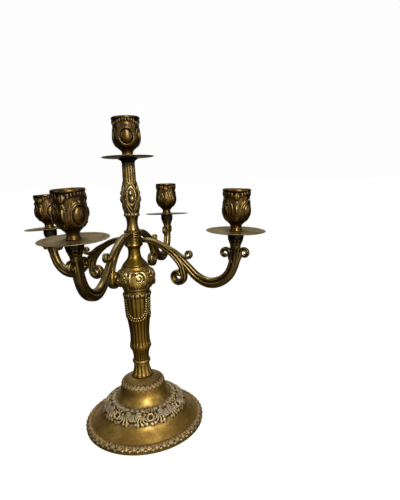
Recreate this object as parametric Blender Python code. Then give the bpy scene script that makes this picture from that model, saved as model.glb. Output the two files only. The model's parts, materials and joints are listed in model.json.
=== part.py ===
"""Five-light brass candelabra: a stamped base, a turned column and two swivelling cast crossbars.

Lengths in this file are millimetres, turned into Blender's metres by MM as each mesh is made. The column's
axis is Z, the base's underside is z = 0, and the lower crossbar lies along X.
"""

import math

import bmesh
import bpy
from mathutils import Matrix, Vector

MM = 0.001

# Clearances between pieces that touch, and the fasteners that run through them
GAP = 0.3
ROD_R = 3.0
BORE_R = 3.4
STUD_R = 2.5
STUD_HOLE_R = 2.9

# Base
FOOT_R = 71.9
FOOT_WIDTH = 3.5
SHELL_WALL = 1.6
BASE_TOP = 59.2
LAND_R = 13.0
BASE_SEGMENTS = 32

# Heights of the pieces stacked on the base, each from its own underside to its own top
SKIRT_HEIGHT = 15.8
RING_HEIGHT = 4.8
COLUMN_HEIGHT = 86.7
KNOP_HEIGHT = 29.1
SPOOL_HEIGHT = 26.2
EYE_HEIGHT = 6.0
SPACER_HEIGHT = 0.6
STEM_WASHER_HEIGHT = 1.0
STEM_HEIGHT = 81.6

# Candle sockets and drip pans
PAN_THICKNESS = 1.0
PAN_R = 31.0
TOP_PAN_R = 29.6
CUP_HEIGHT = 43.2
CUP_RIM_R = 15.6
ARM_CUP_SLIMMING = 0.91
SOCKET_R = 11.2
SOCKET_FLOOR = 14.0
STUD_IN_CUP = 6.5
STUD_IN_ARM = 7.0

# Crossbars: an arm's outline is (distance from the axis, height above the eye's centre)
ARM_REACH = 125.1
ARM_TOP = 11.4
ARM_LEAN_DEG = 3.0
EYE_R = 10.2
UPPER_BAR_DEG = -80.4

# Fasteners under the base
WASHER_R = 12.0
WASHER_HEIGHT = 2.0
NUT_ACROSS_FLATS = 10.0
NUT_HEIGHT = 5.0
ROD_BELOW_NUT = 4.0
ROD_IN_STEM = 22.0

# Undersides of the stacked pieces, from the base upwards
SKIRT_Z = BASE_TOP + GAP
RING_Z = SKIRT_Z + SKIRT_HEIGHT + GAP
COLUMN_Z = RING_Z + RING_HEIGHT + GAP
KNOP_Z = COLUMN_Z + COLUMN_HEIGHT + GAP
SPOOL_Z = KNOP_Z + KNOP_HEIGHT + GAP
LOWER_EYE_Z = SPOOL_Z + SPOOL_HEIGHT + GAP
SPACER_Z = LOWER_EYE_Z + EYE_HEIGHT + GAP
UPPER_EYE_Z = SPACER_Z + SPACER_HEIGHT + GAP
STEM_WASHER_Z = UPPER_EYE_Z + EYE_HEIGHT + GAP
STEM_Z = STEM_WASHER_Z + STEM_WASHER_HEIGHT + GAP

WASHER_Z = BASE_TOP - SHELL_WALL - GAP - WASHER_HEIGHT
NUT_Z = WASHER_Z - GAP - NUT_HEIGHT
ROD_BOTTOM = NUT_Z - ROD_BELOW_NUT
ROD_TOP = STEM_Z + ROD_IN_STEM

# Finish of each group of pieces: colour, roughness, metallic
GOLDEN_BRASS = ((0.42, 0.30, 0.10), 0.34, 1.0)
COLUMN_BRASS = ((0.34, 0.25, 0.08), 0.38, 1.0)
BROWN_BRASS = ((0.30, 0.20, 0.08), 0.36, 1.0)
DULL_BRASS = ((0.34, 0.30, 0.19), 0.55, 0.9)
PLAIN_STEEL = ((0.45, 0.44, 0.42), 0.45, 1.0)


def clear_scene():
    """Removes whatever the file held."""
    for obj in list(bpy.data.objects):
        bpy.data.objects.remove(obj, do_unlink=True)


def finish_of(name, finish):
    """A material for one piece."""
    colour, roughness, metallic = finish
    material = bpy.data.materials.new(name)
    material.use_nodes = True
    shader = material.node_tree.nodes["Principled BSDF"]
    shader.inputs["Base Color"].default_value = (*colour, 1.0)
    shader.inputs["Roughness"].default_value = roughness
    shader.inputs["Metallic"].default_value = metallic
    return material


def place(name, mesh, finish, z=0.0, parent=None, turn_deg=0.0):
    """A named piece with its own material, its mesh's origin put on its parent's axis at height z."""
    obj = bpy.data.objects.new(name, mesh)
    bpy.context.collection.objects.link(obj)
    obj.location.z = z * MM
    obj.rotation_euler.z = math.radians(turn_deg)
    obj.parent = parent
    if not mesh.materials:
        mesh.materials.append(None)
    obj.material_slots[0].link = "OBJECT"
    obj.material_slots[0].material = finish_of(name, finish)
    return obj


def mesh_from(bm, name):
    """The finished mesh, smooth apart from its sharp edges."""
    bmesh.ops.recalc_face_normals(bm, faces=bm.faces)
    mesh = bpy.data.meshes.new(name)
    bm.to_mesh(mesh)
    bm.free()
    mesh.shade_smooth()
    mesh.set_sharp_from_angle(angle=math.radians(35))
    return mesh


def turned(name, outline, segments, flutes=None):
    """Turns a closed outline of (radius, height) round Z. A point at radius 0 closes on the axis.

    flutes is (depth, lowest height, highest height, least radius): every second point round the piece is
    drawn in by that depth between those heights, which makes segments / 2 flutes on the outer side.
    """
    bm = bmesh.new()
    ring = [bm.verts.new((r * MM, 0.0, z * MM)) for r, z in outline]
    on_axis = [i for i, (r, _) in enumerate(outline) if r == 0.0]
    edges = []
    for i, vert in enumerate(ring):
        j = (i + 1) % len(ring)
        if not (i in on_axis and j in on_axis):
            edges.append(bm.edges.new((vert, ring[j])))
    bmesh.ops.spin(
        bm,
        geom=ring + edges,
        cent=(0.0, 0.0, 0.0),
        axis=(0.0, 0.0, 1.0),
        angle=2.0 * math.pi,
        steps=segments,
        use_merge=True,
    )
    bmesh.ops.remove_doubles(bm, verts=bm.verts, dist=1e-6)
    if flutes:
        depth, low, high, least = (value * MM for value in flutes)
        for vert in bm.verts:
            radius = math.hypot(vert.co.x, vert.co.y)
            step = round(math.atan2(vert.co.y, vert.co.x) / (2.0 * math.pi) * segments)
            if step % 2 and low <= vert.co.z <= high and radius > least:
                drawn_in = (radius - depth) / radius
                vert.co.x *= drawn_in
                vert.co.y *= drawn_in
    return mesh_from(bm, name)


def inside_of(outline, wall):
    """An outline of (radius, height), listed from its centre outwards and down, moved in by the wall."""
    points = [Vector(point) for point in outline]
    moved = []
    for i, point in enumerate(points):
        before = points[max(i - 1, 0)]
        after = points[min(i + 1, len(points) - 1)]
        run = (after - before).normalized()
        moved.append((point.x + run.y * wall, point.y - run.x * wall))
    return moved


def curve_through(points, steps):
    """A Catmull-Rom curve through the points, with that many steps in each span."""
    ends = [2 * points[0] - points[1], *points, 2 * points[-1] - points[-2]]
    path = []
    for i in range(1, len(ends) - 2):
        a, b, c, d = ends[i - 1 : i + 3]
        for k in range(steps):
            t = k / steps
            square = (2 * a - 5 * b + 4 * c - d) * t**2
            cube = (3 * b - a - 3 * c + d) * t**3
            path.append(0.5 * (2 * b + (c - a) * t + square + cube))
    path.append(points[-1])
    return path


def scroll(centre, radii, start_deg, sweep_deg, steps):
    """Points of a spiral whose radius shrinks from the first of radii to the second."""
    path = []
    for k in range(steps + 1):
        t = k / steps
        angle = math.radians(start_deg + sweep_deg * t)
        radius = radii[0] + (radii[1] - radii[0]) * t**1.5
        path.append(Vector((centre[0] + radius * math.cos(angle), centre[1] + radius * math.sin(angle))))
    return path


def strand(name, path, half_depths, half_width, sides=6):
    """A cast strand: an oval section swept along a path in the arm's plane.

    half_depths are the section's half depths in that plane at the path's start, middle and end.
    """
    bm = bmesh.new()
    first, middle, last = half_depths
    rings = []
    for i, point in enumerate(path):
        t = i / (len(path) - 1)
        depth = first + (middle - first) * 2 * t if t < 0.5 else middle + (last - middle) * (2 * t - 1)
        run = (path[min(i + 1, len(path) - 1)] - path[max(i - 1, 0)]).normalized()
        normal = Vector((-run.y, run.x))
        width = half_width * (0.55 + 0.45 * depth / max(half_depths))
        ring = []
        for k in range(sides):
            angle = 2 * math.pi * (k + 0.5) / sides
            spot = point + normal * depth * math.sin(angle) / math.cos(math.pi / sides)
            across = width * math.cos(angle) / math.cos(math.pi / sides)
            ring.append(bm.verts.new(Vector((spot.x, across, spot.y)) * MM))
        rings.append(ring)
    for one, two in zip(rings, rings[1:]):
        for k in range(sides):
            n = (k + 1) % sides
            bm.faces.new((one[k], one[n], two[n], two[k]))
    bm.faces.new(rings[0])
    bm.faces.new(reversed(rings[-1]))
    return mesh_from(bm, name)


def flat_points(*pairs):
    """Points in the arm's plane: distance from the column's axis, height above the eye's centre."""
    return [Vector(pair) for pair in pairs]


def arm_strands():
    """The cast strands of one arm, as meshes that overlap where the casting flows together."""
    bracket = curve_through(
        flat_points((5.5, 0), (22, 0.1), (37.7, -5.7), (50.8, -14.2), (60.3, -25.6), (63.6, -36.7)), 2
    )
    volute = scroll(centre=(57.3, -39.1), radii=(6.7, 2.6), start_deg=-5, sweep_deg=-325, steps=11)
    tendril = curve_through(flat_points((40, -5.6), (50, -9.8), (61, -16.4), (67, -18.6)), 2)
    bud = scroll(centre=(70.3, -13.8), radii=(4.4, 1.5), start_deg=-85, sweep_deg=320, steps=8)
    swag = curve_through(
        flat_points((61, -19.4), (69, -28.8), (80, -39.2), (92.8, -44.7), (106, -42.6),
                    (116.5, -34.6), (122.8, -20.9), (ARM_REACH - 0.4, -6), (ARM_REACH, 2)), 2
    )
    outer_curl = flat_points((126.5, -19), (129.6, -14.5)) + scroll((134.8, -9.7), (4.0, 1.4), 180, -320, 8)
    inner_curl = flat_points((120.5, -20), (118.2, -14.5)) + scroll((113.2, -9.9), (4.0, 1.4), 0, 320, 8)
    return [
        strand("bracket", bracket + volute, (2.4, 3.5, 1.7), 3.9),
        strand("tendril", tendril + bud, (1.8, 1.7, 1.2), 3.2),
        strand("swag", swag, (4.0, 5.0, 4.6), 4.3),
        strand("outer_curl", outer_curl, (1.8, 1.6, 1.2), 3.4),
        strand("inner_curl", inner_curl, (1.8, 1.6, 1.2), 3.4),
        calyx_mesh(),
    ]


def calyx_mesh():
    """The leafy cup at an arm's end, leaning outwards, with the blind hole for the stud in its top."""
    hole_floor = ARM_TOP - STUD_IN_ARM - GAP
    outline = [
        (0, -7), (4.4, -7), (5.0, -3), (6.2, 0.5), (8.0, 4.5), (8.6, 8), (8.6, ARM_TOP),
        (STUD_HOLE_R, ARM_TOP), (STUD_HOLE_R, hole_floor), (0, hole_floor),
    ]
    calyx = turned("calyx", outline, 12, flutes=(0.5, -6, ARM_TOP - 1, STUD_HOLE_R + 1))
    lean = Matrix.Rotation(math.radians(ARM_LEAN_DEG), 4, "Y")
    calyx.transform(Matrix.Translation((ARM_REACH * MM, 0.0, 0.0)) @ lean)
    return calyx


def crossbar_mesh():
    """One two-armed casting: the bored eye with both arms' strands joined to it."""
    eye = bpy.data.objects.new("eye", eye_mesh())
    bpy.context.collection.objects.link(eye)
    arms = bpy.data.collections.new("arms")
    bpy.context.scene.collection.children.link(arms)
    for turn_deg in (0, 180):
        for mesh in arm_strands():
            if turn_deg:
                mesh.transform(Matrix.Rotation(math.radians(turn_deg), 4, "Z"))
            helper = bpy.data.objects.new(f"{mesh.name}_{turn_deg}", mesh)
            helper.hide_render = True
            helper.display_type = "WIRE"
            arms.objects.link(helper)
    join = eye.modifiers.new("join arms", "BOOLEAN")
    join.operation = "UNION"
    join.operand_type = "COLLECTION"
    join.collection = arms
    joined = bpy.data.meshes.new_from_object(eye.evaluated_get(bpy.context.evaluated_depsgraph_get()))
    joined.name = "crossbar"
    for helper in [eye, *arms.objects]:
        bpy.data.objects.remove(helper, do_unlink=True)
    bpy.data.collections.remove(arms)
    joined.shade_smooth()
    joined.set_sharp_from_angle(angle=math.radians(40))
    return joined


def eye_mesh():
    """The ring at the crossbar's middle, centred on its own origin, with a groove round it."""
    half = EYE_HEIGHT / 2
    return turned(
        "eye",
        [
            (BORE_R, -half), (EYE_R - 0.6, -half), (EYE_R, -half + 0.9), (EYE_R, -0.7), (EYE_R - 0.7, 0),
            (EYE_R, 0.7), (EYE_R, half - 0.9), (EYE_R - 0.6, half), (BORE_R, half),
        ],
        20,
    )


def base_outline():
    """The outside of the base from its centre hole to the floor: dome, bell, wreath ring, skirt and rim."""
    return [
        (BORE_R, BASE_TOP), (LAND_R, BASE_TOP), (17.5, 57.7), (22.0, 54.8), (25.2, 51.9), (26.6, 48.8),
        (27.6, 42.4), (29.9, 37.2), (34.0, 32.2), (37.8, 31.8), (41.8, 30.1), (46.2, 26.5), (49.6, 22.4),
        (51.0, 19.4), (57.4, 13.8), (64.8, 7.6), (68.6, 6.4), (71.2, 4.6),
    ]


def build_base():
    """The open shell that stands on its foot ring, with the washer and nut that clamp the stack inside it."""
    outside = base_outline()
    foot = [(FOOT_R, 3.4), (FOOT_R, 0.0), (FOOT_R - FOOT_WIDTH, 0.0), (FOOT_R - FOOT_WIDTH, 3.2)]
    inside = inside_of(outside, SHELL_WALL)
    inside[0] = (BORE_R, BASE_TOP - SHELL_WALL)
    inside[1] = (LAND_R - 0.4, BASE_TOP - SHELL_WALL)
    # The hidden side needs fewer points: every second one of the skirt and ring, then of the bell and dome
    plain_inside = inside[15:8:-2] + inside[8:3:-2] + inside[1::-1]
    place("base_shell", turned("base_shell", outside + foot + plain_inside, BASE_SEGMENTS), GOLDEN_BRASS)
    washer = [(BORE_R, 0), (WASHER_R, 0), (WASHER_R, WASHER_HEIGHT), (BORE_R, WASHER_HEIGHT)]
    place("base_washer", turned("base_washer", washer, 16), PLAIN_STEEL, z=WASHER_Z)
    flat_r = NUT_ACROSS_FLATS / 2
    corner_r = flat_r / math.cos(math.pi / 6)
    nut = [(BORE_R, 0), (corner_r, 0), (corner_r, NUT_HEIGHT), (BORE_R, NUT_HEIGHT)]
    hexagon = (corner_r - flat_r, -1, NUT_HEIGHT + 1, BORE_R + 0.5)
    place("base_nut", turned("base_nut", nut, 12, flutes=hexagon), PLAIN_STEEL, z=NUT_Z)


def build_tie_rod():
    """The rod from under the base to inside the upper stem."""
    length = ROD_TOP - ROD_BOTTOM
    rod = [(0, 0), (ROD_R - 0.6, 0), (ROD_R, 0.6), (ROD_R, length - 0.6), (ROD_R - 0.6, length), (0, length)]
    place("tie_rod", turned("tie_rod", rod, 12), PLAIN_STEEL, z=ROD_BOTTOM)


def build_column():
    """The flared skirt, the polished ring and the hollow fluted column."""
    top = SKIRT_HEIGHT
    skirt = [(BORE_R, 0), (12.4, 0), (12.3, 1.6), (11.1, 5), (9.8, 10), (9.4, top), (BORE_R, top)]
    fluted = turned("column_skirt", skirt, 24, flutes=(0.9, 0, 12, 8))
    place("column_skirt", fluted, COLUMN_BRASS, z=SKIRT_Z)
    top = RING_HEIGHT
    ring = [(BORE_R, 0), (9.9, 0), (10.7, 1.2), (10.7, top - 1.2), (9.9, top), (BORE_R, top)]
    place("column_ring", turned("column_ring", ring, 20), GOLDEN_BRASS, z=RING_Z)
    top = COLUMN_HEIGHT
    column = [
        (BORE_R, 0), (9.2, 0), (9.4, 3.5), (10.2, 9), (11.7, 12.8), (12.4, 17.3), (11.6, 22.5),
        (11.6, 33), (12.7, 43.4), (14.4, 55), (15.3, 68), (15.8, 78), (16.5, 82.5), (16.3, 85),
        (15.1, top), (BORE_R, top), (BORE_R, top - 4), (11.4, top - 6.5), (11.2, 60), (8.4, 34),
        (8.4, 16), (BORE_R, 8),
    ]
    fluted = turned("lower_column", column, 32, flutes=(0.9, 20, 77, 11.5))
    place("lower_column", fluted, COLUMN_BRASS, z=COLUMN_Z)


def build_knop_and_spool():
    """The hollow knop, and the waisted spool that carries the crossbars."""
    top = KNOP_HEIGHT
    knop = [
        (BORE_R, 0), (15.4, 0), (17.2, 2.6), (20.6, 8.6), (21.7, 15), (20.9, 20.4), (18.8, 25.3),
        (15.6, top), (BORE_R, top), (BORE_R, top - 3), (14.5, top - 5.5), (18.2, 15.5), (15.5, 6),
        (BORE_R, 3),
    ]
    place("knop", turned("knop", knop, 20), COLUMN_BRASS, z=KNOP_Z)
    top = SPOOL_HEIGHT
    spool = [
        (BORE_R, 0), (14.8, 0), (12.8, 3.8), (8.4, 9.4), (7.2, 15.4), (7.6, 20.5), (10.0, 23.2),
        (10.5, 24.2), (10.5, top), (BORE_R, top),
    ]
    place("neck_spool", turned("neck_spool", spool, 16), COLUMN_BRASS, z=SPOOL_Z)


def build_stem():
    """The washers between the crossbars and the stem, and the stem screwed down on the rod."""
    spacer = [(BORE_R, 0), (8.6, 0), (8.6, SPACER_HEIGHT), (BORE_R, SPACER_HEIGHT)]
    place("spacer_washer", turned("spacer_washer", spacer, 16), DULL_BRASS, z=SPACER_Z)
    top = STEM_WASHER_HEIGHT
    washer = [(BORE_R, 0), (10.6, 0), (10.6, top), (BORE_R, top)]
    place("stem_washer", turned("stem_washer", washer, 16), DULL_BRASS, z=STEM_WASHER_Z)
    top = STEM_HEIGHT
    stem = [
        (BORE_R, 0), (8.0, 0), (7.0, 2.8), (6.3, 8.5), (6.9, 13), (8.4, 17.5), (8.8, 23.4),
        (10.6, 30.3), (11.8, 37), (11.6, 41.5), (10.2, 47.3), (7.9, 53.6), (7.3, 66), (7.0, 77.6),
        (10.2, 79.6), (10.7, top), (STUD_HOLE_R, top),
        (STUD_HOLE_R, top - STUD_IN_ARM - GAP), (0, top - STUD_IN_ARM - GAP),
        (0, ROD_IN_STEM + GAP), (BORE_R, ROD_IN_STEM + GAP),
    ]
    return place("upper_stem", turned("upper_stem", stem, 16), COLUMN_BRASS, z=STEM_Z)


def pan_mesh(name, radius):
    """A thin drip pan, hardly dished, with its edge turned up."""
    thick = PAN_THICKNESS
    outline = [
        (STUD_HOLE_R, 0), (radius - 8, 0.2), (radius - 1.2, 0.8), (radius, 1.4), (radius, 2.0),
        (radius - 2.4, 1.9), (radius - 8, 0.2 + thick), (STUD_HOLE_R, thick),
    ]
    return turned(name, outline, 28)


def cup_mesh(name, slimming=1.0):
    """A candle cup: a foot with a blind hole under it, a belly, a lip and a socket for the candle."""
    top = CUP_HEIGHT
    outside = [
        (7.5, 0), (7.5, 1.2), (6.4, 2.6), (6.5, 5.0), (8.8, 8.0), (13.2, 12.6), (15.6, 17.4),
        (16.1, 21.0), (15.6, 28), (15.7, 34), (16.8, 38.6), (16.4, 41), (CUP_RIM_R, top),
        (CUP_RIM_R - 2.2, top),
    ]
    outline = [(STUD_HOLE_R, 0)]
    outline += [(r * slimming, z) for r, z in outside]
    outline += [
        (SOCKET_R, top - 2.5), (SOCKET_R, SOCKET_FLOOR), (0, SOCKET_FLOOR - 1),
        (0, STUD_IN_CUP + GAP), (STUD_HOLE_R, STUD_IN_CUP + GAP),
    ]
    return turned(name, outline, 16)


def stud_mesh():
    """The threaded stud that holds a cup and its pan, its origin level with the top of the arm."""
    low = -STUD_IN_ARM
    high = GAP + PAN_THICKNESS + GAP + STUD_IN_CUP
    outline = [
        (0, low), (STUD_R - 0.5, low), (STUD_R, low + 0.5), (STUD_R, high - 0.5),
        (STUD_R - 0.5, high), (0, high),
    ]
    return turned("cup_stud", outline, 12)


def arm_seat(crossbar, turn_deg):
    """An empty on the axis of one arm's calyx, level with the crossbar's eye and leaning with the calyx."""
    seat = bpy.data.objects.new("seat", None)
    bpy.context.collection.objects.link(seat)
    turn = math.radians(turn_deg)
    seat.parent = crossbar
    seat.location = Vector((math.cos(turn), math.sin(turn), 0.0)) * ARM_REACH * MM
    seat.rotation_euler = (0.0, math.radians(ARM_LEAN_DEG), turn)
    return seat


def build_light(label, seat, pan, cup, stud, z):
    """A drip pan and a candle cup held by a stud in the seat, which is an arm's end or the stem's top."""
    place(f"{label}_cup_stud", stud, PLAIN_STEEL, z=z, parent=seat)
    place(f"{label}_drip_pan", pan, DULL_BRASS, z=z + GAP, parent=seat)
    cup_z = z + GAP + PAN_THICKNESS + GAP
    place(f"{label}_candle_cup", cup, BROWN_BRASS, z=cup_z, parent=seat)


def build():
    """The whole candelabra."""
    clear_scene()
    build_base()
    build_tie_rod()
    build_column()
    build_knop_and_spool()
    stem = build_stem()
    crossbar = crossbar_mesh()
    eye_middle = EYE_HEIGHT / 2
    lower = place("lower_crossbar", crossbar, BROWN_BRASS, z=LOWER_EYE_Z + eye_middle)
    upper = place(
        "upper_crossbar", crossbar, BROWN_BRASS, z=UPPER_EYE_Z + eye_middle, turn_deg=UPPER_BAR_DEG
    )
    pan = pan_mesh("drip_pan", PAN_R)
    cup = cup_mesh("arm_cup", ARM_CUP_SLIMMING)
    stud = stud_mesh()
    for crossbar_piece, labels in ((lower, ("right", "left")), (upper, ("front", "back"))):
        for label, turn_deg in zip(labels, (0, 180)):
            build_light(label, arm_seat(crossbar_piece, turn_deg), pan, cup, stud, z=ARM_TOP)
    build_light("top", stem, pan_mesh("top_drip_pan", TOP_PAN_R), cup_mesh("top_cup"), stud, z=STEM_HEIGHT)


build()
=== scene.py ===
"""The looks of a five-light brass candelabra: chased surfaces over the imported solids, patina, light, camera.

Outlines and reliefs are in millimetres and are turned into metres by MM. An outline lists (radius, height)
from a piece's foot up. The pieces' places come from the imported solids' boxes and joints. Each cast piece
keeps the name of the node that it stands for, with "_cast" behind it.
"""

import json
import math

import bpy
import numpy as np
from mathutils import Matrix, Vector


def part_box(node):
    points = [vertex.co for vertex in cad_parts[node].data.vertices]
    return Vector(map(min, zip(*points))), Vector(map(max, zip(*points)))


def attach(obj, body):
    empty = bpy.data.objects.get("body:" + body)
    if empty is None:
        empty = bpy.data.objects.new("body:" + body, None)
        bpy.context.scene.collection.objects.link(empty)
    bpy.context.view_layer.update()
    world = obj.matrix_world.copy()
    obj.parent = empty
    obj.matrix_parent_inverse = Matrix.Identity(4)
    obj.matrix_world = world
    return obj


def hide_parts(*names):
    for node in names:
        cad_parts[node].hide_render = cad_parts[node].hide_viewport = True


MM = 0.001
TAU = 2 * math.pi

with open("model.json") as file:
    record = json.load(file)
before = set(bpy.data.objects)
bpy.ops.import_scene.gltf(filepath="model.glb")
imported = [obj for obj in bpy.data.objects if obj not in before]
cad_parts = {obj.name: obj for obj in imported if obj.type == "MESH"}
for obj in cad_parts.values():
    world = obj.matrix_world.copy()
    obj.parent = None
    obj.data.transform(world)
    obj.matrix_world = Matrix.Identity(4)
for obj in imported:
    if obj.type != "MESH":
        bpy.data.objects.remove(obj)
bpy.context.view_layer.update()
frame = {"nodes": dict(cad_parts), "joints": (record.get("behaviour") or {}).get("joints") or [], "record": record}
BODY_OF = {node: body for body, nodes in frame["record"]["behaviour"]["bodies"].items() for node in nodes}
SLOT_OF = {part["node"]: part["material_slot"] for part in frame["record"]["subparts"]}
JOINT_AT = {joint["name"]: joint.get("pos_m") for joint in frame["joints"]}

# Azimuth that the photograph's camera sees the column from, in degrees
FRONT_DEG = -56.7

# Sizes shared with the solids, in millimetres
BORE_R = 3.4
STUD_HOLE_R = 2.9
SHELL_WALL = 1.6
ARM_REACH = 125.1
ARM_TOP = 11.4
ARM_LEAN_DEG = 3.0
PAN_R = 30.9
TOP_PAN_R = 29.5
PAN_THICK = 1.0
CUP_HEIGHT = 43.1
ARM_CUP_SLIMMING = 0.91
SOCKET_R = 11.2
SOCKET_FLOOR = 14.0
GAP = 0.3

# Each crossbar's joint and lights: (name, bearing of a cabochon in degrees, seed of the pan's unevenness)
CROSSBARS = {
    "lower_crossbar": ("lower_arm_swivel", (("right", -11.0, 128), ("left", -18.0, 123))),
    "upper_crossbar": ("upper_arm_swivel", (("front", -15.0, 116), ("back", -2.0, 113))),
}
TOP_PAN_SEED = 5

# The camera: where it stands in metres, where it looks, its roll and its lens
VIEW_FROM = (0.2560, -0.3904, 0.2916)
VIEW_ALONG = (-0.3965, 0.9020, -0.1707)
VIEW_ROLL_DEG = -2.27
LENS_MM = 28.63
SENSOR_MM = 36.0

LIGHTS_AIM_Z = 0.15
LIGHTS_DISTANCE = 1.6
BACKDROP = 0.985


# ---- outlines


def smooth_curve(points, step=1.0):
    """Dense points on a smooth curve through the given ones."""
    points = np.array(points, float)
    chords = np.linalg.norm(np.diff(points, axis=0), axis=1)
    knots = np.concatenate([[0], np.cumsum(np.sqrt(chords))])
    slopes = np.gradient(points, knots, axis=0)
    dense = []
    for i, chord in enumerate(chords):
        span = knots[i + 1] - knots[i]
        t = np.linspace(0, 1, max(2, math.ceil(chord / step)), endpoint=False)[:, None]
        dense.append(
            (2 * t**3 - 3 * t**2 + 1) * points[i]
            + (t**3 - 2 * t**2 + t) * span * slopes[i]
            + (3 * t**2 - 2 * t**3) * points[i + 1]
            + (t**3 - t**2) * span * slopes[i + 1]
        )
    return np.concatenate([*dense, points[-1:]])


def outline(*runs, step=0.5, soften=2):
    """Smooth runs of points joined end to start. Their corners are rounded a little."""
    dense = np.concatenate([smooth_curve(run, step)[0 if i == 0 else 1 :] for i, run in enumerate(runs)])
    for _ in range(soften):
        dense[1:-1] = (dense[:-2] + 2 * dense[1:-1] + dense[2:]) / 4
    return dense


def spaced(points, bands, plain):
    """The outline with its points plain mm apart, or closer inside the bands: (low, high, step) by height."""
    along = np.concatenate([[0], np.cumsum(np.linalg.norm(np.diff(points, axis=0), axis=1))])
    step = np.full(len(points), plain)
    for low, high, fine in bands:
        step[(points[:, 1] >= low) & (points[:, 1] <= high)] = fine
    count = np.concatenate([[0], np.cumsum(np.diff(along) * 2 / (step[1:] + step[:-1]))])
    chosen = np.interp(np.linspace(0, count[-1], math.ceil(count[-1]) + 1), count, along)
    return np.stack([np.interp(chosen, along, points[:, k]) for k in (0, 1)], axis=1)


def normals_of(points):
    """Unit normals on the right-hand side of a path: the outside of an outline listed from its foot up."""
    run = np.gradient(points, axis=0)
    run /= np.maximum(np.linalg.norm(run, axis=1, keepdims=True), 1e-9)
    return np.stack([run[:, 1], -run[:, 0]], axis=1)


# ---- relief


def dome(x, y, a, b, height):
    """An elliptical boss."""
    return height * np.sqrt(np.clip(1 - (x / a) ** 2 - (y / b) ** 2, 0, 1))


def hoop(x, y, a, b, width, height):
    """A half-round wire laid along an ellipse."""
    away = np.abs(np.hypot(x / a, y / b) - 1) * min(a, b)
    return ridge(away, width, height)


def ridge(away, width, height):
    """A half-round ridge, given the distance from its middle line."""
    return height * np.sqrt(np.clip(1 - (away / width) ** 2, 0, 1))


def leaf(x, y, length, width, height, veins=0.28, lobes=5):
    """A leaf from the origin along +y, broadest below its middle, with a midrib groove and side veins."""
    t = np.clip(y / length, 0, 1)
    half = width / 2 * np.sin(math.pi * t**0.8) ** 0.8 * (1 + 0.6 * veins * np.cos(TAU * lobes * t))
    across = np.abs(x) / np.maximum(half, 1e-6)
    body = np.sqrt(np.clip(1 - across**2, 0, 1)) * np.sqrt(np.sin(math.pi * t))
    midrib = 1 - 0.45 * np.exp(-((x / (0.09 * width)) ** 2))
    ribs = 1 - veins * (0.5 + 0.5 * np.cos(TAU * (lobes * t - 1.2 * across)))
    return np.where((y > 0) & (y < length) & (across < 1), height * body * midrib * ribs, 0)


def stroke(x, y, points, width, height):
    """A raised line through the points, thin at both of its ends."""
    line = smooth_curve(points, 0.45)
    relief = np.zeros(np.broadcast_shapes(x.shape, y.shape))
    for t, (x0, y0) in zip(np.linspace(0, 1, len(line)), line):
        fullness = 0.4 + 0.6 * math.sin(math.pi * t) ** 0.7
        size = width * fullness
        relief = np.maximum(relief, dome(x - x0, y - y0, size, size, height * fullness))
    return relief


def polar(reach, turn):
    """The point at a reach and a turn in radians."""
    return reach * math.cos(turn), reach * math.sin(turn)


def facet(x, y, a, b, height):
    """An elliptical boss with a nearly flat top."""
    full = dome(x, y, a, b, 2.2 * height)
    return np.minimum(full, 0.9 * height + 0.045 * full)


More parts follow.
